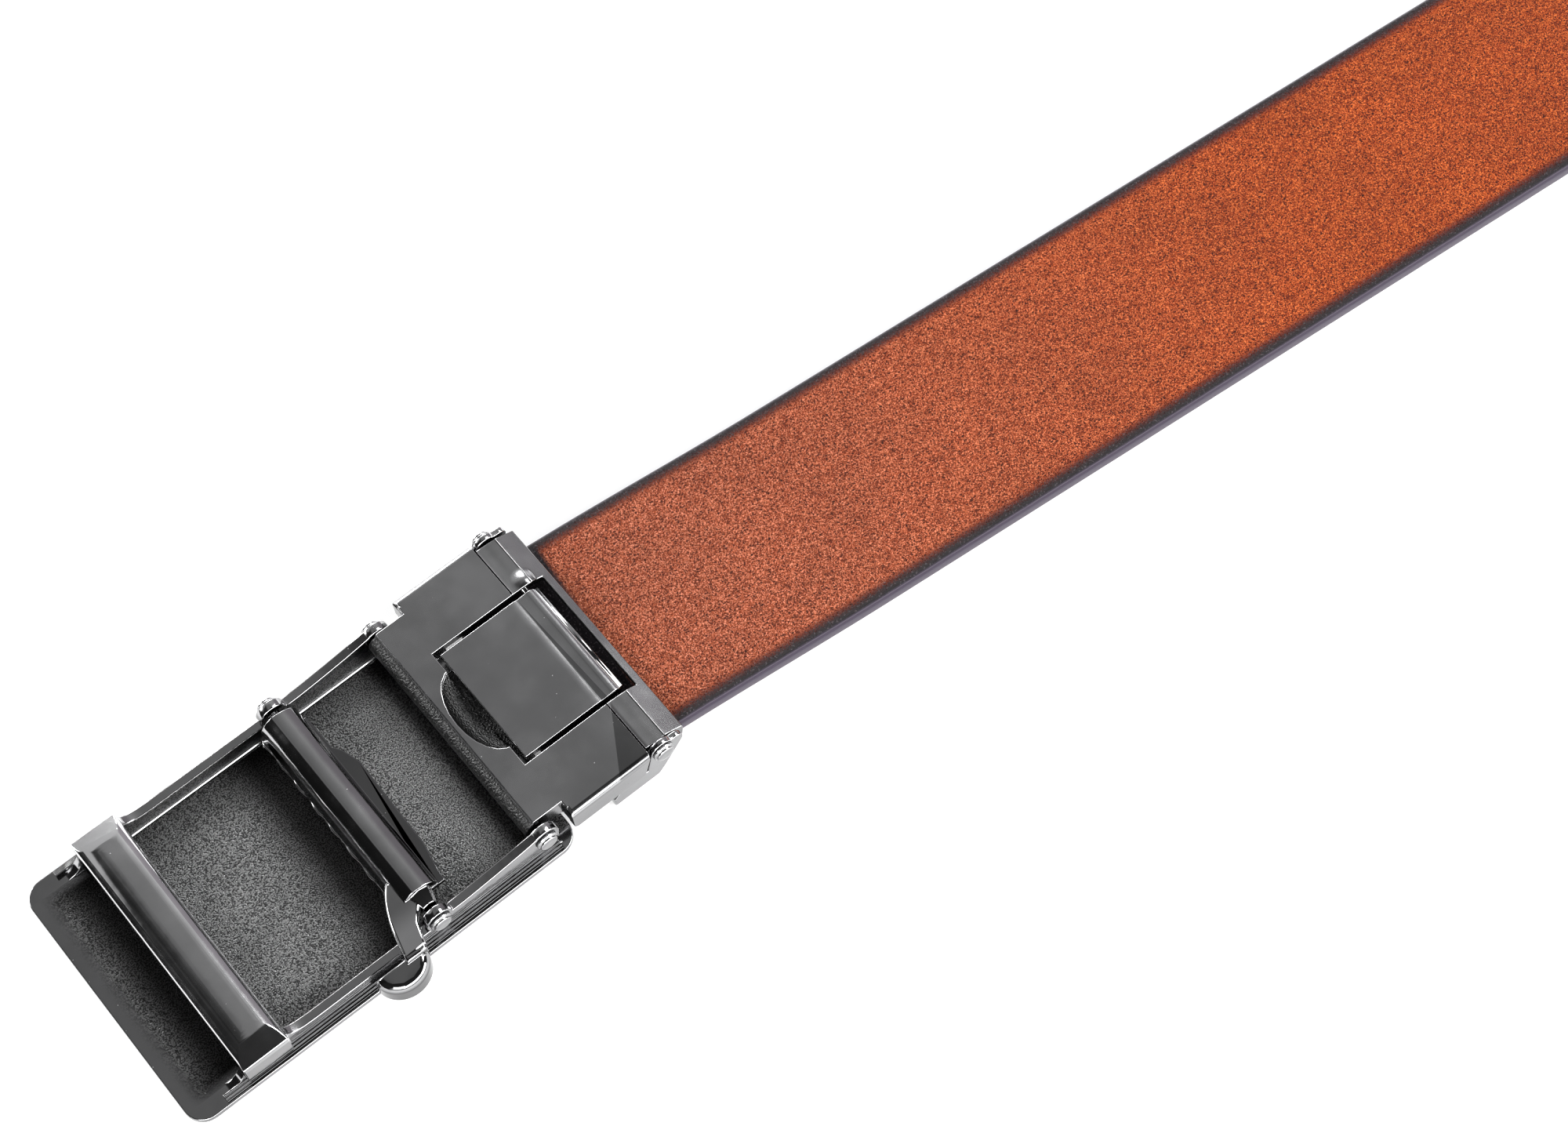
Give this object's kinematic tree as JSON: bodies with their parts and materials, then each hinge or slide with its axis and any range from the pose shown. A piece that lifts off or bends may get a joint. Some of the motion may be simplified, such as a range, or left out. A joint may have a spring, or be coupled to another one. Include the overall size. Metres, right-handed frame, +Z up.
{
  "type": "ratchet belt",
  "caption": "Automatic ratchet belt lying face down: dark metal buckle with tip loop, spring pawl and release lever, hinged clamp with a locking flap, and a leather strap.",
  "frame": {"origin": "on the surface the belt lies on, under the clamp front plate's flat underside, on the buckle's middle line", "axes": "+X along the belt from the buckle to the strap's tip, +Y across it, +Z up, out of the back that faces the wearer"},
  "size_m": [0.2633, 0.0539, 0.0082],
  "materials": {
    "blasted_gunmetal": "sandblasted dark gunmetal plating, polished on the loop bar",
    "polished_gunmetal": "mirror-bright dark gunmetal plating",
    "satin_gunmetal": "satin dark gunmetal plating with bright bevels",
    "strap_leather": "rust-orange napped flesh side, dark painted edges"
  },
  "bodies": {
    "clamp": {"clamp_shell": "satin_gunmetal", "clamp_front": "satin_gunmetal", "flap_pin": "polished_gunmetal", "strap": "strap_leather"},
    "frame": {"face_plate": "blasted_gunmetal", "hinge_pin": "polished_gunmetal", "pawl_pin": "polished_gunmetal"},
    "flap": {"cam_flap": "satin_gunmetal"},
    "pawl": {"ratchet_pawl": "polished_gunmetal"}
  },
  "joints": [
    {"name": "buckle_hinge", "type": "hinge", "parent": "clamp", "child": "frame", "pos_m": [-0.0147, 0, 0.0054], "axis": [0, 1, 0], "range_deg": [-12, 100]},
    {"name": "flap_hinge", "type": "hinge", "parent": "clamp", "child": "flap", "pos_m": [0.005, 0.00025, 0.0063], "axis": [0, 1, 0], "range_deg": [0, 100]},
    {"name": "pawl_hinge", "type": "hinge", "parent": "frame", "child": "pawl", "pos_m": [-0.0324, 0, 0.0053], "axis": [0, 1, 0], "range_deg": [0, 15], "stiffness_Nm_per_rad": 0.05, "springref_deg": -11.46}
  ]
}
